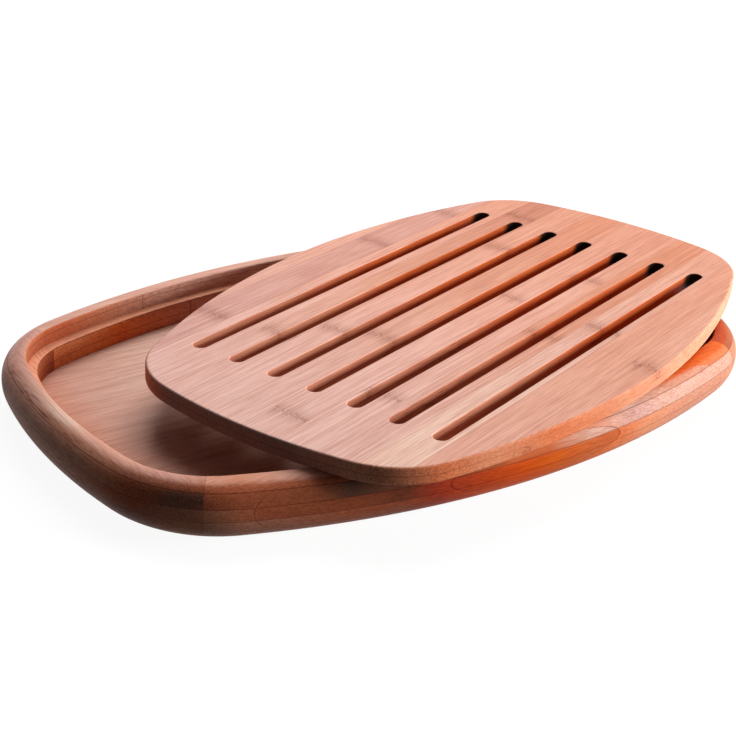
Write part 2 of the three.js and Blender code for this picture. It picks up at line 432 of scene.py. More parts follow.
def slot_ring(centre_y, grow, height):
    """Outline of a slot, wider by a margin."""
    radius = SLOT_WIDTH / 2
    reach = BOARD_LENGTH / 2 - SLOT_END_MARGIN - radius
    points = []
    for side in (1, -1):
        for i in range(SLOT_END_STEPS + 1):
            turn = math.pi * i / SLOT_END_STEPS - QUARTER_TURN
            x = side * (reach + (radius + grow) * math.cos(turn))
            y = centre_y + side * (radius + grow) * math.sin(turn)
            points.append(Vector((x, y, height)))
    return points


def slab_walls(bm, radius, steps, outline, inward=False):
    """Walls of the board through outlines that round over by a radius at the underside and at the top.

    outline gives the ring for a round's offset, which runs from 0 out to the radius, and a height.
    """
    rings = []
    for start, end, centre in ((DOWN, LEVEL, radius), (LEVEL, UP, BOARD_THICKNESS - radius)):
        for c, s in round_over(start, end, radius, steps):
            rings.append(outline(c, centre + s))
    return walls(bm, rings, inward)


def whole_board():
    """The board with its slots, before it is cut into strips."""
    bm = bmesh.new()
    bottom, top = slab_walls(
        bm,
        BOARD_EDGE_ROUND,
        BOARD_EDGE_STEPS,
        lambda offset, height: ring(RECESS_OUTLINE, offset - BOARD_FIT - BOARD_EDGE_ROUND, height),
    )
    for k in range(SLOTS):
        centre_y = (k - (SLOTS - 1) / 2) * SLOT_PITCH
        low, high = slab_walls(
            bm,
            SLOT_EDGE_ROUND,
            SMALL_ROUND_STEPS,
            lambda offset, height: slot_ring(centre_y, SLOT_EDGE_ROUND - offset, height),
            inward=True,
        )
        bottom += low
        top += high
    fill(bm, bottom, Vector((0, 0, -1)))
    fill(bm, top, Vector((0, 0, 1)))
    area_normals(bm)
    return bm


def board_pieces():
    """The board's strips in two layers."""
    whole = whole_board()
    middle = (0, 0, BOARD_THICKNESS / 2)
    pieces = {}
    for i in range(BOARD_STRIPS):
        near = strip_edge(i)
        strip = whole.copy()
        if i > 0:
            cut(strip, (0, near, 0), (0, -1, 0))
        if i < BOARD_STRIPS - 1:
            cut(strip, (0, near + BOARD_STRIP, 0), (0, 1, 0))
        for layer, normal in (("bottom", (0, 0, 1)), ("top", (0, 0, -1))):
            bm = strip.copy()
            cut(bm, middle, normal)
            node = f"board_{layer}_strip_{i + 1}"
            pieces[node] = written(bm, node, 0.0, BOARD_AT)
        strip.free()
    whole.free()
    return pieces


# Shader nodes

class Graph:
    """Short calls for making shader nodes and linking them.

    An input is a value or another node's socket.
    """

    def __init__(self, tree):
        self.tree = tree

    def give(self, socket, value):
        """Links a socket or sets its value."""
        if isinstance(value, bpy.types.NodeSocket):
            self.tree.links.new(value, socket)
        else:
            socket.default_value = value

    def node(self, kind, inputs=None, **settings):
        """A node with its inputs by name or number."""
        made = self.tree.nodes.new(kind)
        for key, value in settings.items():
            setattr(made, key, value)
        for key, value in (inputs or {}).items():
            self.give(made.inputs[key], value)
        return made

    def math(self, operation, a, b=0.0, c=0.0, clamp=False):
        """One operation on numbers."""
        made = self.node("ShaderNodeMath", {0: a, 1: b, 2: c}, operation=operation, use_clamp=clamp)
        return made.outputs[0]

    def vector(self, operation, a, b):
        """One operation on vectors that gives a vector."""
        return self.node("ShaderNodeVectorMath", {0: a, 1: b}, operation=operation).outputs[0]

    def measure(self, operation, a, b=ORIGIN):
        """One operation on vectors that gives a number."""
        return self.node("ShaderNodeVectorMath", {0: a, 1: b}, operation=operation).outputs["Value"]

    def split(self, vector):
        """A vector's three parts."""
        return self.node("ShaderNodeSeparateXYZ", {0: vector}).outputs

    def joined(self, parts):
        """A vector of three parts."""
        return self.node("ShaderNodeCombineXYZ", dict(enumerate(parts))).outputs[0]

    def noise(self, at, stretch, detail, roughness):
        """Noise that swings about one half."""
        scaled = self.vector("MULTIPLY", at, stretch)
        made = self.node(
            "ShaderNodeTexNoise",
            {"Vector": scaled, "Scale": 1.0, "Detail": detail, "Roughness": roughness},
        )
        return made.outputs[0]

    def ramp(self, value, low, high, to_low=0.0, to_high=1.0, smooth=False):
        """A value taken from one range to another, and held at that range's ends."""
        made = self.node(
            "ShaderNodeMapRange",
            {"Value": value, "From Min": low, "From Max": high, "To Min": to_low, "To Max": to_high},
            interpolation_type="SMOOTHSTEP" if smooth else "LINEAR",
        )
        return made.outputs[0]

    def mix(self, share, a, b):
        """A colour between two colours, which are the node's inputs 6 and 7 and its output 2."""
        return self.node("ShaderNodeMix", {0: share, 6: a, 7: b}, data_type="RGBA").outputs[2]


def gap(g, value, place):
    """Distance of a value from a place."""
    return g.math("ABSOLUTE", g.math("SUBTRACT", value, place))


def graded(g, along, stops):
    """A tone that changes along a value. stops are its places with their tones, in rising order."""
    low, high = stops[0][0], stops[-1][0]
    made = g.node("ShaderNodeValToRGB", {0: g.ramp(along, low, high)})
    ramp = made.color_ramp
    ramp.elements[0].color = stops[0][1]
    ramp.elements[1].color = stops[-1][1]
    for place, tone in stops[1:-1]:
        ramp.elements.new((place - low) / (high - low)).color = tone
    return made.outputs[0]


# Bamboo

# Noises in the bamboo: stretch per millimetre along, across and across the fibres, detail and roughness
CLOUD = ((0.022, 0.07, 0.07), 2.0, 0.5)
STRIPE = ((0.012, 0.5, 0.5), 2.0, 0.5)
STREAK = ((0.022, 2.1, 2.1), 2.0, 0.6)
CRISP = ((0.02, 1.8, 1.8), 2.0, 0.5)
PORE = ((0.08, 2.0, 2.0), 1.0, 0.5)
DASH = ((0.06, 1.2, 1.2), 2.0, 0.6)
SPECK = ((0.45, 1.7, 1.7), 2.0, 0.6)
WOBBLE = ((0.0, 0.2, 0.2), 2.0, 0.5)

# Values between which a noise turns from nothing to a full mark
CRISP_START, CRISP_FULL = 0.55, 0.66
PORE_START, PORE_FULL = 0.56, 0.66
DASH_START, DASH_FULL = 0.53, 0.60
SPECK_START, SPECK_FULL = 0.46, 0.60

# Middle of a noise, share of the dark shade there, and how strongly each noise sways that share
NOISE_MEAN = 0.5
DARK_SHARE = 0.40
CLOUD_SWAY = 1.2
STRIPE_SWAY = 1.1
STREAK_SWAY = 4.4

# Shades of a tone, as shares of its red, green and blue
LIGHT_SHADE = (1.10, 1.17, 1.20)
DARK_SHADE = (0.88, 0.79, 0.75)
RUDDY_SHADE = (0.84, 0.64, 0.57)
DEEP_SHADE = (0.38, 0.23, 0.19)

# Knuckles: how far their line wobbles, distances from it at which the mottled skirt and the speckled core
# start and are full, and the darkness of each
KNUCKLE_WOBBLE = 9.0
SKIRT_START, SKIRT_FULL = 11.0, 3.0
CORE_START, CORE_FULL = 5.0, 1.0
SKIRT_DARKNESS = 0.5
CORE_DARKNESS = 0.22
SPECK_DARKNESS = 0.62

# Darkness of a spot between its dashes, and what the dashes add
SPOT_DARKNESS = 0.2
SPOT_DASHES = 0.8

# How far crisp streaks, knuckles with spots, and glue lines take the colour to their shade
CRISP_COVER = 0.65
KNOT_COVER = 0.85
LINE_COVER = 0.65

# Roughness of the planed face, what knuckles and streaks add to it, and strength of its reflections
ROUGHNESS = 0.42
KNOT_ROUGHNESS = 0.12
STREAK_ROUGHNESS = 0.2
SPECULAR = 0.1

# Relief: how much the pores count in it, its strength, and its depth in metres
PORE_RELIEF = 0.5
RELIEF_STRENGTH = 0.3
RELIEF_DEPTH = 0.0002

# A material has up to three knuckles; those that it lacks lie far off
KNUCKLES = 3
FAR_OFF = 9999.0

# How far each step in a piece's seed moves its noises, in millimetres
SEED_SHIFT = (71.3, 13.7, 29.1)

# Distances at which a glue line starts and is full, at a joint and at a fine seam, and a spot's full part
HAIRLINE = (0.36, 0.1)
SEAM_LINE = (0.11, 0.03)
SPOT_CORE = 0.35


def bamboo_group():
    """Split and planed bamboo: fibres along X of the given place, in millimetres, with knuckles across."""
    tree = bpy.data.node_groups.new("bamboo", "ShaderNodeTree")
    for direction, name, kind in (
        ("INPUT", "Place", "Vector"),
        ("INPUT", "Seed", "Vector"),
        ("INPUT", "Tone", "Color"),
        ("INPUT", "Knuckles", "Vector"),
        ("INPUT", "Spot", "Float"),
        ("INPUT", "Line", "Float"),
        ("INPUT", "Pores", "Float"),
        ("OUTPUT", "Colour", "Color"),
        ("OUTPUT", "Roughness", "Float"),
        ("OUTPUT", "Height", "Float"),
    ):
        tree.interface.new_socket(name, in_out=direction, socket_type="NodeSocket" + kind)
    g = Graph(tree)
    given = g.node("NodeGroupInput").outputs
    seeded = g.vector("ADD", given["Place"], given["Seed"])
    where = g.split(given["Place"])
    knuckles = g.split(given["Knuckles"])

    # Stripes and fine streaks along the fibres, with a few crisp dark ones
    cloud = g.noise(seeded, *CLOUD)
    stripe = g.noise(seeded, *STRIPE)
    streak = g.noise(seeded, *STREAK)
    crisp = g.ramp(g.noise(seeded, *CRISP), CRISP_START, CRISP_FULL, smooth=True)
    pore = g.ramp(g.noise(seeded, *PORE), PORE_START, PORE_FULL, smooth=True)
    dash = g.ramp(g.noise(seeded, *DASH), DASH_START, DASH_FULL, smooth=True)
    dark = g.math("MULTIPLY_ADD", g.math("SUBTRACT", cloud, NOISE_MEAN), CLOUD_SWAY, DARK_SHARE)
    dark = g.math("MULTIPLY_ADD", g.math("SUBTRACT", stripe, NOISE_MEAN), STRIPE_SWAY, dark)
    dark = g.math("MULTIPLY_ADD", g.math("SUBTRACT", streak, NOISE_MEAN), STREAK_SWAY, dark, clamp=True)

    # Knuckles: a mottled band with short dark dashes
    wobble = g.math("SUBTRACT", g.noise(seeded, *WOBBLE), NOISE_MEAN)
    along = g.math("ADD", where[0], g.math("MULTIPLY", wobble, KNUCKLE_WOBBLE))
    distances = [gap(g, along, knuckles[i]) for i in range(KNUCKLES)]
    near = g.math("MINIMUM", g.math("MINIMUM", distances[0], distances[1]), distances[2])
    skirt = g.ramp(near, SKIRT_START, SKIRT_FULL, smooth=True)
    core = g.ramp(near, CORE_START, CORE_FULL, smooth=True)
    specks = g.ramp(g.noise(seeded, *SPECK), SPECK_START, SPECK_FULL, smooth=True)
    mottled = g.math("MULTIPLY", stripe, SKIRT_DARKNESS)
    speckled = g.math("MULTIPLY_ADD", specks, SPECK_DARKNESS, CORE_DARKNESS)
    dashed = g.math("MULTIPLY_ADD", dash, SPOT_DASHES, SPOT_DARKNESS)
    knot = g.math("MULTIPLY", skirt, mottled)
    knot = g.math("MAXIMUM", knot, g.math("MULTIPLY", core, speckled))
    knot = g.math("MAXIMUM", knot, g.math("MULTIPLY", given["Spot"], dashed))

    tone = given["Tone"]
    deep = g.vector("MULTIPLY", tone, DEEP_SHADE)
    colour = g.mix(dark, g.vector("MULTIPLY", tone, LIGHT_SHADE), g.vector("MULTIPLY", tone, DARK_SHADE))
    colour = g.mix(g.math("MULTIPLY", crisp, CRISP_COVER), colour, g.vector("MULTIPLY", tone, RUDDY_SHADE))
    colour = g.mix(g.math("MULTIPLY", g.math("MAXIMUM", pore, dash), given["Pores"]), colour, deep)
    colour = g.mix(g.math("MULTIPLY", knot, KNOT_COVER), colour, deep)
    colour = g.mix(g.math("MULTIPLY", given["Line"], LINE_COVER), colour, deep)

    rough = g.math("MULTIPLY_ADD", knot, KNOT_ROUGHNESS, ROUGHNESS)
    rough = g.math("MULTIPLY_ADD", streak, STREAK_ROUGHNESS, rough)
    height = g.math("SUBTRACT", g.math("ADD", streak, stripe), g.math("MULTIPLY", pore, PORE_RELIEF))
    height = g.math("SUBTRACT", height, g.math("MAXIMUM", knot, given["Line"]))
    g.node("NodeGroupOutput", {"Colour": colour, "Roughness": rough, "Height": height})
    return tree


BAMBOO = bamboo_group()


def hairline(g, distance, edges=HAIRLINE):
    """One within a fine line and nothing outside it."""
    return g.ramp(distance, *edges, smooth=True)


def spots(g, where, marks):
    """Darkness of soft oval marks, each with its middle, radii and strength."""
    total = 0.0
    for middle, radii, strength in marks:
        offset = g.vector("SUBTRACT", g.joined(where), middle)
        size = g.measure("LENGTH", g.vector("DIVIDE", offset, radii))
        mark = g.ramp(size, 1.0, SPOT_CORE, 0.0, strength, smooth=True)
        total = g.math("MAXIMUM", total, mark)
    return total


def bamboo(name, paint, seed, turn, origin, knuckles=()):
    """Bamboo for one piece. Its grain is turned about Z and starts from an origin.

    paint gives the tone, glue lines, spots and pores, from the graph and the place in the grain.
    """
    material = bpy.data.materials.new(name)
    material.use_nodes = True
    tree = material.node_tree
    tree.nodes.clear()
    g = Graph(tree)
    coordinates = g.node("ShaderNodeTexCoord").outputs["Object"]
    mapped = g.node(
        "ShaderNodeMapping",
        {"Vector": coordinates, "Rotation": (0, 0, turn), "Scale": (1 / MM,) * 3},
        vector_type="POINT",
    ).outputs[0]
    place = g.vector("SUBTRACT", mapped, tuple(origin))
    tone, line, spot, pores = paint(g, g.split(place))
    group = g.node("ShaderNodeGroup", node_tree=BAMBOO)
    for key, value in (
        ("Place", place),
        ("Seed", tuple(seed * shift for shift in SEED_SHIFT)),
        ("Tone", tone),
        ("Knuckles", tuple(knuckles) + (FAR_OFF,) * (KNUCKLES - len(knuckles))),
        ("Spot", spot),
        ("Line", line),
        ("Pores", pores),
    ):
        g.give(group.inputs[key], value)
    bump = g.node(
        "ShaderNodeBump",
        {"Height": group.outputs["Height"], "Strength": RELIEF_STRENGTH, "Distance": RELIEF_DEPTH},
    )
    shader = g.node(
        "ShaderNodeBsdfPrincipled",
        {
            "Base Color": group.outputs["Colour"],
            "Roughness": group.outputs["Roughness"],
            "Specular IOR Level": SPECULAR,
            "Normal": bump.outputs[0],
        },
    )
    g.node("ShaderNodeOutputMaterial", {"Surface": shader.outputs[0]})
    return material


def dress(piece, node, body, material):
    """Gives a piece its material and puts it in its node's place."""
    piece.data.materials.append(material)
    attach(piece, body)
    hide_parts(node)


# Tones

def srgb(*screen):
    """A screen colour of 0 to 255 as the linear colour that a shader takes."""
    shares = [value / 255 for value in screen]
    linear = [s / 12.92 if s <= 0.04045 else ((s + 0.055) / 1.055) ** 2.4 for s in shares]
    return (*linear, 1.0)


# Pale and pinkish tones
CREAM = srgb(236, 194, 174)
PINK = srgb(228, 181, 168)
BLUSH = srgb(223, 171, 152)
ROSE = srgb(226, 166, 145)
MAUVE = srgb(216, 164, 154)
DUSK = srgb(210, 152, 136)
TAN = srgb(218, 155, 129)
CLAY = srgb(215, 148, 121)
RUSSET = srgb(209, 136, 104)
BRICK = srgb(197, 128, 102)

# Orange tones
APRICOT = srgb(243, 177, 142)
SAND = srgb(240, 166, 132)
OCHRE = srgb(240, 160, 102)
SPICE = srgb(232, 151, 113)
HONEY = srgb(240, 150, 96)
COPPER = srgb(230, 128, 82)
FLAME = srgb(232, 118, 56)
AMBER = srgb(217, 96, 20)
EMBER = srgb(220, 84, 16)
GINGER = srgb(206, 102, 52)
TOFFEE = srgb(180, 68, 14)
RUST = srgb(172, 59, 34)

# Brown, grey and dark tones
CINNAMON = srgb(204, 112, 75)
CHESTNUT = srgb(186, 102, 70)
BROWN = srgb(172, 94, 62)
SIENNA = srgb(156, 80, 50)
UMBER = srgb(118, 60, 38)
WALNUT = srgb(128, 84, 67)
ASH = srgb(130, 108, 103)
SHADED = srgb(118, 94, 82)
SOOT = srgb(98, 64, 50)
# Near black, a painted shade for the slots' right ends
SLOT_END_SHADE = srgb(40, 24, 18)


# Looks of the board

# Places along X of a strip's left, middle and right tone
STRIP_TONE_PLACES = (-170, 0, 165)

# Strips from near to far: their left, middle and right tone, and the knuckles of the top layer. The tones
# run from pale pink at the left to warmer at the right, partly the strips' own tone and partly painted
# sheen
STRIP_LOOKS = {
    1: (ROSE, TAN, ROSE, (0,)),
    2: (ROSE, TAN, CLAY, ()),
    3: (CREAM, BLUSH, TAN, (28,)),
    4: (PINK, CLAY, RUSSET, (-2,)),
    5: (PINK, ROSE, CLAY, (88, -122)),
    6: (PINK, ROSE, CLAY, (32, -171)),
    7: (PINK, TAN, RUSSET, (-65,)),
    8: (PINK, ROSE, CLAY, (-75, 96)),
    9: (PINK, TAN, BRICK, (-100, 154)),
    10: (PINK, ROSE, CLAY, ()),
    11: (MAUVE, DUSK, DUSK, (-105, 49, 125)),
    12: (PINK, ROSE, TAN, ()),
}

# Tones around the board's edge, by the angle in degrees from +X
BOARD_EDGE = (
    (-180, ASH), (-172, ASH), (-161, SAND), (-150, COPPER), (-142, SPICE), (-129, COPPER), (-108, SPICE),
    (-88, SAND), (-60, APRICOT), (60, APRICOT), (120, TAN), (150, BRICK), (157, CHESTNUT), (164, ASH),
    (180, ASH),
)

# Tones along the slots' walls; the near black at their right ends is painted shade
SLOT_WALL = (
    (-145, CLAY), (-60, RUSSET), (20, GINGER), (132, GINGER), (138, SLOT_END_SHADE), (145, SLOT_END_SHADE),
)

# Margin of the walls' tone around the slots, depths below the top face at which the sides' tone starts and
# is full, and height up to which the underside's tone reaches
SLOT_PAINT_MARGIN = 0.4
SIDE_START, SIDE_FULL = 0.05, 0.5
UNDERSIDE_REACH = 0.2

# Strength of the line between strips, and of that between the layers, which grows towards the left end:
# two angles from +X with the strengths there
STRIP_LINE = 0.3
LAYER_LINE = (130, 155, 0.15, 0.9)

# Pores of the board, and of the cut at its near left corner: its angle, then two angles from it with the
# strengths there
BOARD_PORES = 0.12
CUT_CORNER = -155
CUT_CORNER_PORES = (15, 6, 0.0, 0.5)

# The bottom layer has seeds of its own and one knuckle on each strip, at places that spread along X
BOTTOM_SEEDS = 20
KNUCKLE_STEP = 67
KNUCKLE_SPAN = 360


def in_slots(g, where):
    """One in and just around the slots, which lie at whole pitches from the board's middle line."""
    beside = g.math("PINGPONG", where[1], SLOT_PITCH / 2)
    sunk = g.math("LESS_THAN", beside, SLOT_WIDTH / 2 + SLOT_PAINT_MARGIN)
    end = BOARD_LENGTH / 2 - SLOT_END_MARGIN + SLOT_PAINT_MARGIN
    for value, limit in ((where[1], SLOT_PITCH * SLOTS / 2), (where[0], end)):
        sunk = g.math("MULTIPLY", sunk, g.math("LESS_THAN", gap(g, value, 0), limit))
    return sunk


def board_paint(near, tones):
    """Looks of a board strip with a given near edge and tones."""

    def paint(g, where):
        x, y, z = where
        around = g.math("DEGREES", g.math("ARCTAN2", y, x))
        face = graded(g, x, tuple(zip(STRIP_TONE_PLACES, tones)))
        side = g.mix(in_slots(g, where), graded(g, around, BOARD_EDGE), graded(g, x, SLOT_WALL))
        below = g.ramp(z, BOARD_THICKNESS - SIDE_START, BOARD_THICKNESS - SIDE_FULL)
        tone = g.mix(below, face, side)
        # The underside takes SHADED, a dark painted shade under the board, which also throws less light
        # onto the floor below
        tone = g.mix(g.math("LESS_THAN", z, UNDERSIDE_REACH), tone, SHADED)
        to_edge = g.math("MINIMUM", gap(g, y, near), gap(g, y, near + BOARD_STRIP))
        strips = g.math("MULTIPLY", hairline(g, to_edge), STRIP_LINE)
        layers = hairline(g, gap(g, z, BOARD_THICKNESS / 2))
        layers = g.math("MULTIPLY", layers, g.ramp(gap(g, around, 0), *LAYER_LINE))
        cut_ends = g.math("MULTIPLY", below, g.ramp(gap(g, around, CUT_CORNER), *CUT_CORNER_PORES))
        pores = g.math("MAXIMUM", cut_ends, BOARD_PORES)
        return tone, g.math("MAXIMUM", strips, layers), 0.0, pores

    return paint


def dress_board():
    """Dresses the board's strips."""
    for node, piece in board_pieces().items():
        number = int(node.split("_")[-1])
        *tones, knuckles = STRIP_LOOKS[number]
        seed = number
        if "_bottom_" in node:
            seed += BOTTOM_SEEDS
            knuckles = (number * KNUCKLE_STEP % KNUCKLE_SPAN - KNUCKLE_SPAN / 2,)
        paint = board_paint(strip_edge(number - 1), tones)
        material = bamboo(node, paint, seed, 0.0, BOARD_AT, knuckles)
        dress(piece, node, "board", material)


# Looks of the tray

# Seams between the strips of the side rails' layers: distances from the tray's long middle line
INNER_SEAM = 114.3
OUTER_SEAM = 136.7

# Looks of each rail, by the place along it: from left to right, or from back to front on the end rails.
# outer: tones of the outer face by layer; a layer that is left out takes those of the next lower one
# crest: tones of the rim's top
# beyond: tones of the outer face beyond a seam, by layer in the same way
# inner: tones of the inner face of the layers below the ledge, and of those from the ledge up
# spots: dark marks, each with its middle, radii and strength
# pores: their strength at the left or back, and at the right or front
SIDE_FRONT = {
    "outer": {
        1: (
            (-175, TAN), (-110, CHESTNUT), (-80, SIENNA), (-60, RUST), (-35, EMBER), (20, AMBER),
            (45, FLAME), (60, COPPER), (80, SPICE), (120, CLAY),
        ),
        3: (
            (-175, RUSSET), (-150, CHESTNUT), (-105, SIENNA), (-80, UMBER), (-62, RUST), (-30, EMBER),
            (20, AMBER), (45, FLAME), (60, COPPER), (80, SPICE), (120, CLAY),
        ),
        4: (
            (-175, CHESTNUT), (-125, BROWN), (-108, SOOT), (-40, SIENNA), (0, COPPER), (30, COPPER),
            (52, ROSE), (72, MAUVE), (92, BLUSH), (130, BLUSH), (155, ROSE),
        ),
        # The top layer's copper at the right, inside the inner seam, is painted shade of the board beside
        # it, warmed by light bounced off the board
        5: ((-175, CHESTNUT), (-60, CHESTNUT), (60, TAN), (115, COPPER), (170, COPPER)),
    },
    # The crest's copper and amber at the right, beside the board, are painted shade of the board, warmed
    # by light bounced off the board
    "crest": (
        (-175, TAN), (-155, RUSSET), (-130, ROSE), (-95, TAN), (60, ROSE), (100, COPPER), (120, AMBER),
        (170, AMBER),
    ),
    "beyond": {
        1: (OUTER_SEAM, ((-62, RUST), (-13, EMBER), (10, AMBER), (35, GINGER), (50, GINGER))),
        4: (
            OUTER_SEAM,
            ((-62, SIENNA), (-15, GINGER), (5, GINGER), (22, CLAY), (35, BLUSH), (50, BLUSH)),
        ),
        5: (INNER_SEAM, ((-120, CHESTNUT), (-40, CHESTNUT), (60, BLUSH), (120, TAN))),
    },
    "inner": (((-175, BROWN), (175, BROWN)), ((-175, CLAY), (175, CLAY))),
    "spots": (
        ((-159, -106, 29.3), (11, 7, 2.4), 0.5),
        ((-108, -121, 29), (14, 8, 2.5), 0.5),
        ((-82, -132, 20), (12, 8, 3.5), 0.5),
        ((64, -134, 25), (7, 6, 3.5), 0.5),
        ((135, -117, 27.5), (4, 4, 2.5), 0.5),
    ),
    "pores": (0.3, 0.08),
}
SIDE_BACK = {
    "outer": {
        1: ((-175, BROWN), (0, CHESTNUT), (175, CLAY)),
        5: ((-175, BLUSH), (175, ROSE)),
    },
    # The lower inner wall's bright honey at the left end is partly painted light, brighter to stand in for
    # light bounced into the well
    "inner": (
        ((-180, HONEY), (-145, HONEY), (-115, FLAME), (-60, BRICK)),
        ((-178, CINNAMON), (-150, CINNAMON), (-120, RUSSET), (-85, BLUSH)),
    ),
    "spots": (),
    "pores": (0.25, 0.25),
}
END_LEFT = {
    "outer": {
        1: ((-100, SIENNA), (-40, BROWN), (20, SIENNA), (75, UMBER), (95, RUSSET)),
        3: (
            (-100, BRICK), (-30, TAN), (20, TAN), (40, RUSSET), (60, BROWN), (78, SIENNA), (95, BRICK),
        ),
        4: (
            (-100, MAUVE), (-50, ROSE), (-10, ROSE), (30, TAN), (55, RUSSET), (72, CHESTNUT), (84, BROWN),
            (92, WALNUT), (101, WALNUT),
        ),
        5: (
            (-100, PINK), (-60, DUSK), (-25, BLUSH), (18, CLAY), (40, CLAY), (64, BRICK), (98, BROWN),
        ),
    },
    # The crest's pale tones, cream in the middle, are partly painted sheen
    "crest": (
        (-100, DUSK), (-50, DUSK), (-25, BLUSH), (-5, CREAM), (10, CREAM), (30, ROSE), (60, ROSE),
        (85, DUSK), (100, BRICK),
    ),
    "inner": (
        ((-100, SIENNA), (-90, SIENNA), (-82, CINNAMON), (-60, OCHRE), (100, BROWN)),
        ((-100, CINNAMON), (-60, RUSSET), (100, CLAY)),
    ),
    "spots": (
        ((102, -179, 25.6), (15, 12, 4.4), 1.0),
        ((76, -195, 25), (17, 12, 5), 0.5),
        ((-20, -203, 28.2), (66, 9, 3.4), 1.0),
    ),
    "pores": (0.25, 0.4),
}
END_RIGHT = {
    "outer": {
        1: ((-100, CHESTNUT), (80, CHESTNUT), (100, RUSSET)),
        5: ((-100, BROWN), (100, BROWN)),
    },
    # The crest's deep toffee towards its front end, beside the board, is painted shade
    "crest": ((-100, BROWN), (70, TOFFEE), (100, TOFFEE)),
    "inner": (((-100, FLAME), (100, FLAME)), ((-100, FLAME), (100, FLAME))),
    "spots": (),
    "pores": (0.2, 0.2),
}
RAILS = {
    "side_rail_front": SIDE_FRONT,
    "side_rail_back": SIDE_BACK,
    "end_rail_left": END_LEFT,
    "end_rail_right": END_RIGHT,
}

# Places along a rail between which the pores change, and the share of them that the crest lacks
PORE_PLACES = (-60, 20)
CREST_SMOOTHNESS = 0.75

# Depths below the crest at which its tones start and are full
CREST_START, CREST_FULL = 1.6, 0.3

# The ledge is where a normal's upward part passes a limit, up to just above the ledge's height
UPWARD = 0.5
LEDGE_MARGIN = 1

# A face is an inner one where the tray's middle lies in front of it by more than this, in metres
MIDDLE_AHEAD = 0.03

# Lowest layer that reaches above the ledge
LEDGE_LAYER = 4

# Height above which a rail shows lines between its layers
LINES_FROM = 1

# Tones of the tray's floor from left to right, and its pores. The russet at the left end is a painted
# orange glow of light bounced from the rails, and the darker mauve from the middle on is partly painted
# shade of the board above it
FLOOR_TONES = ((-190, RUSSET), (-160, BLUSH), (-100, CREAM), (0, MAUVE), (200, MAUVE))
FLOOR_PORES = 0.15

# Seeds of the first rail piece and of the first floor strip
RAIL_SEEDS = 40
FLOOR_SEEDS = 70


def of_layer(table, layer):
    """A table's entry for a layer, or for the next lower one that it has."""
    return table.get(max((k for k in table if k <= layer), default=None))


def inner_faces(g, height):
    """One on the ledge, and one on all inner faces with the ledge."""
    normal = g.node("ShaderNodeNewGeometry").outputs["Normal"]
    position = g.node("ShaderNodeTexCoord").outputs["Object"]
    upward = g.math("GREATER_THAN", g.split(normal)[2], UPWARD)
    on_ledge = g.math("MULTIPLY", upward, g.math("LESS_THAN", height, LEDGE_HEIGHT + LEDGE_MARGIN))
    inward = g.math("LESS_THAN", g.measure("DOT_PRODUCT", normal, position), -MIDDLE_AHEAD)
    return on_ledge, g.math("MAXIMUM", on_ledge, inward)


def rail_paint(rail, layer):
    """Looks of one layer of a rail."""
    looks = RAILS[rail]
    outer = of_layer(looks["outer"], layer)
    beyond = of_layer(looks.get("beyond", {}), layer)
    lower, upper = looks["inner"]
    inner = upper if layer >= LEDGE_LAYER else lower
    left_pores, right_pores = looks["pores"]

    def paint(g, where):
        x, y, z = where
        on_ledge, within = inner_faces(g, z)
        on_crest = g.ramp(z, TRAY_HEIGHT - CREST_START, TRAY_HEIGHT - CREST_FULL, smooth=True)
        tone = graded(g, x, outer)
        line = hairline(g, g.math("PINGPONG", z, RAIL_PLY / 2))
        line = g.math("MULTIPLY", line, g.math("GREATER_THAN", z, LINES_FROM))
        if rail.startswith("side"):
            aside = gap(g, y, 0)
            if beyond:
                seam, stops = beyond
                tone = g.mix(g.math("GREATER_THAN", aside, seam), tone, graded(g, x, stops))
            seams = g.math("MINIMUM", gap(g, aside, INNER_SEAM), gap(g, aside, OUTER_SEAM))
            line = g.math("MAXIMUM", line, hairline(g, seams, SEAM_LINE))
        if layer == RAIL_PLIES and "crest" in looks:
            tone = g.mix(on_crest, tone, graded(g, x, looks["crest"]))
        tone = g.mix(within, tone, graded(g, x, inner))
        tone = g.mix(on_ledge, tone, SAND)
        pores = g.ramp(x, *PORE_PLACES, left_pores, right_pores)
        pores = g.math("MULTIPLY", pores, g.math("MULTIPLY_ADD", on_crest, -CREST_SMOOTHNESS, 1.0))
        return tone, line, spots(g, where, looks["spots"]), pores

    return paint


def floor_paint(g, where):
    """Looks of a floor strip."""
    return graded(g, where[0], FLOOR_TONES), 0.0, 0.0, FLOOR_PORES


def dress_tray():
    """Dresses the rails' layers, whose grain runs along each rail, and the floor's strips."""
    for number, (node, piece) in enumerate(rail_pieces().items()):
        rail, layer = node.split("_ply_")
        turn = -TRAY_TURN + (QUARTER_TURN if rail.startswith("end") else 0.0)
        material = bamboo(node, rail_paint(rail, int(layer)), RAIL_SEEDS + number, turn, ORIGIN)
        dress(piece, node, "tray", material)
    for number, (node, piece) in enumerate(floor_pieces().items()):
        material = bamboo(node, floor_paint, FLOOR_SEEDS + number, -TRAY_TURN, ORIGIN)
        dress(piece, node, "tray", material)


# Camera, at the photograph's place

CAMERA_AT = (-0.66888, -0.45604, 0.39593)
CAMERA_TURN = math.radians(-55.077)
CAMERA_RISE = math.radians(25.537)
CAMERA_ROLL = math.radians(3.335)
CAMERA_LENS = 76.69
CAMERA_SENSOR = 36
CAMERA_NEAR = 0.01
CAMERA_FAR = 20


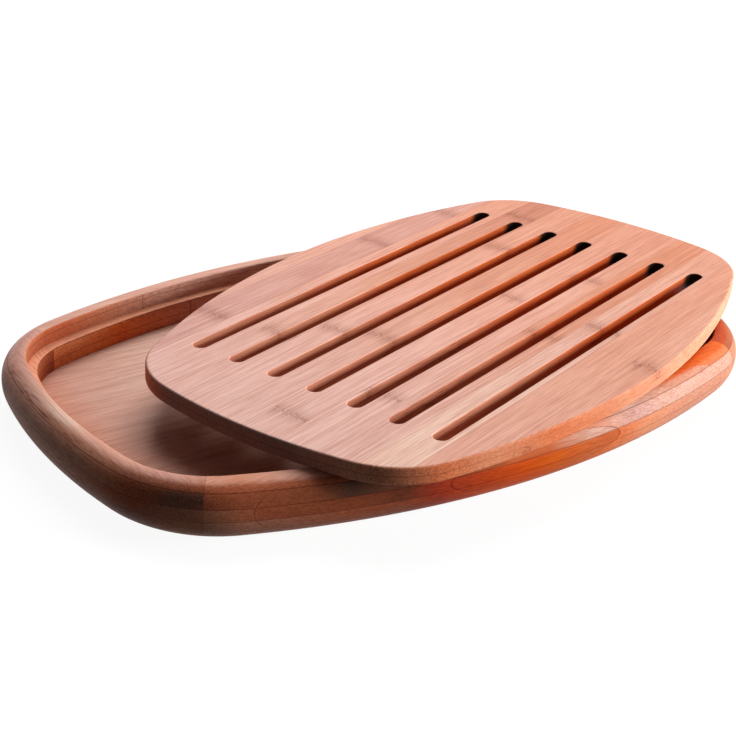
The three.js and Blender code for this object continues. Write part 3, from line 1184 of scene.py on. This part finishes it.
def camera():
    """The camera, turned about Z from +Y, looking down by its rise and rolled about its axis."""
    turn, rise, roll = CAMERA_TURN, CAMERA_RISE, CAMERA_ROLL
    ahead = Vector((
        -math.sin(turn) * math.cos(rise),
        math.cos(turn) * math.cos(rise),
        -math.sin(rise),
    ))
    right = Vector((math.cos(turn), math.sin(turn), 0))
    up = right.cross(ahead)
    across = right * math.cos(roll) + up * math.sin(roll)
    upward = up * math.cos(roll) - right * math.sin(roll)
    made = bpy.data.objects.new("camera", bpy.data.cameras.new("camera"))
    made.matrix_world = Matrix((*zip(across, upward, -ahead, CAMERA_AT), (0, 0, 0, 1)))
    made.data.sensor_width = CAMERA_SENSOR
    made.data.lens = CAMERA_LENS
    made.data.clip_start = CAMERA_NEAR
    made.data.clip_end = CAMERA_FAR
    bpy.context.scene.collection.objects.link(made)
    bpy.context.scene.camera = made


# Floor, background and lamps

# Studio floor: half of its side, its level, its glow, and its greys where it is seen and for other rays
STUDIO_HALF = 6.0
STUDIO_LEVEL = -0.00005
STUDIO_GLOW = 0.93
SEEN_GREY = (0.12, 0.12, 0.12, 1)
UNSEEN_GREY = (0.1, 0.1, 0.1, 1)

# Background: its colour, and its strengths where it is seen and for other rays
WHITE = (1, 1, 1, 1)
WORLD_SEEN = 1.0
WORLD_UNSEEN = 0.03

# Lamps: where they point, and the name, place, size, power in watts and colour of each
LAMP_TARGET = (0.03, 0, 0.02)
LAMPS = (
    ("key", (0.81, -1.35, 0.38), (0.6, 0.7), 34, (1.0, 0.98, 0.95)),
    ("back", (0.84, 0.51, 1.30), (1.3, 1.3), 28.5, (1.0, 0.98, 0.97)),
)


def in_view(g):
    """One for rays that show the surroundings: from the camera, mirrored or passed through glass."""
    path = g.node("ShaderNodeLightPath").outputs
    direct = g.math("MAXIMUM", path["Is Camera Ray"], path["Is Glossy Ray"])
    return g.math("MAXIMUM", direct, path["Is Transmission Ray"])


def studio_floor():
    """A floor that looks white but for the object's shadow, and throws little light on the object."""
    half, level = STUDIO_HALF, STUDIO_LEVEL
    mesh = bpy.data.meshes.new("studio_floor")
    mesh.from_pydata(
        [(-half, -half, level), (half, -half, level), (half, half, level), (-half, half, level)],
        [],
        [(0, 1, 2, 3)],
    )
    made = bpy.data.objects.new("studio_floor", mesh)
    bpy.context.scene.collection.objects.link(made)
    material = bpy.data.materials.new("studio_floor")
    material.use_nodes = True
    tree = material.node_tree
    tree.nodes.clear()
    g = Graph(tree)
    shadowed = g.node("ShaderNodeBsdfDiffuse", {"Color": SEEN_GREY}).outputs[0]
    glow = g.node("ShaderNodeEmission", {"Color": WHITE, "Strength": STUDIO_GLOW}).outputs[0]
    seen = g.node("ShaderNodeAddShader", {0: shadowed, 1: glow}).outputs[0]
    unseen = g.node("ShaderNodeBsdfDiffuse", {"Color": UNSEEN_GREY}).outputs[0]
    both = g.node("ShaderNodeMixShader", {0: in_view(g), 1: unseen, 2: seen}).outputs[0]
    g.node("ShaderNodeOutputMaterial", {"Surface": both})
    mesh.materials.append(material)


def studio_world():
    """A white background that throws little light on the object."""
    world = bpy.data.worlds.new("studio")
    bpy.context.scene.world = world
    world.use_nodes = True
    tree = world.node_tree
    tree.nodes.clear()
    g = Graph(tree)
    unseen = g.node("ShaderNodeBackground", {"Color": WHITE, "Strength": WORLD_UNSEEN}).outputs[0]
    seen = g.node("ShaderNodeBackground", {"Color": WHITE, "Strength": WORLD_SEEN}).outputs[0]
    both = g.node("ShaderNodeMixShader", {0: in_view(g), 1: unseen, 2: seen}).outputs[0]
    g.node("ShaderNodeOutputWorld", {"Surface": both})


def lamp(name, place, size, power, colour):
    """A soft rectangular lamp that points at the object."""
    data = bpy.data.lights.new(name, "AREA")
    data.shape = "RECTANGLE"
    data.size, data.size_y = size
    data.energy = power
    data.color = colour
    made = bpy.data.objects.new(name, data)
    made.location = place
    made.rotation_mode = "QUATERNION"
    made.rotation_quaternion = (Vector(LAMP_TARGET) - Vector(place)).to_track_quat("-Z", "Y")
    bpy.context.scene.collection.objects.link(made)


dress_board()
dress_tray()
camera()
studio_floor()
studio_world()
for settings in LAMPS:
    lamp(*settings)

bpy.context.scene.view_settings.view_transform = "Standard"
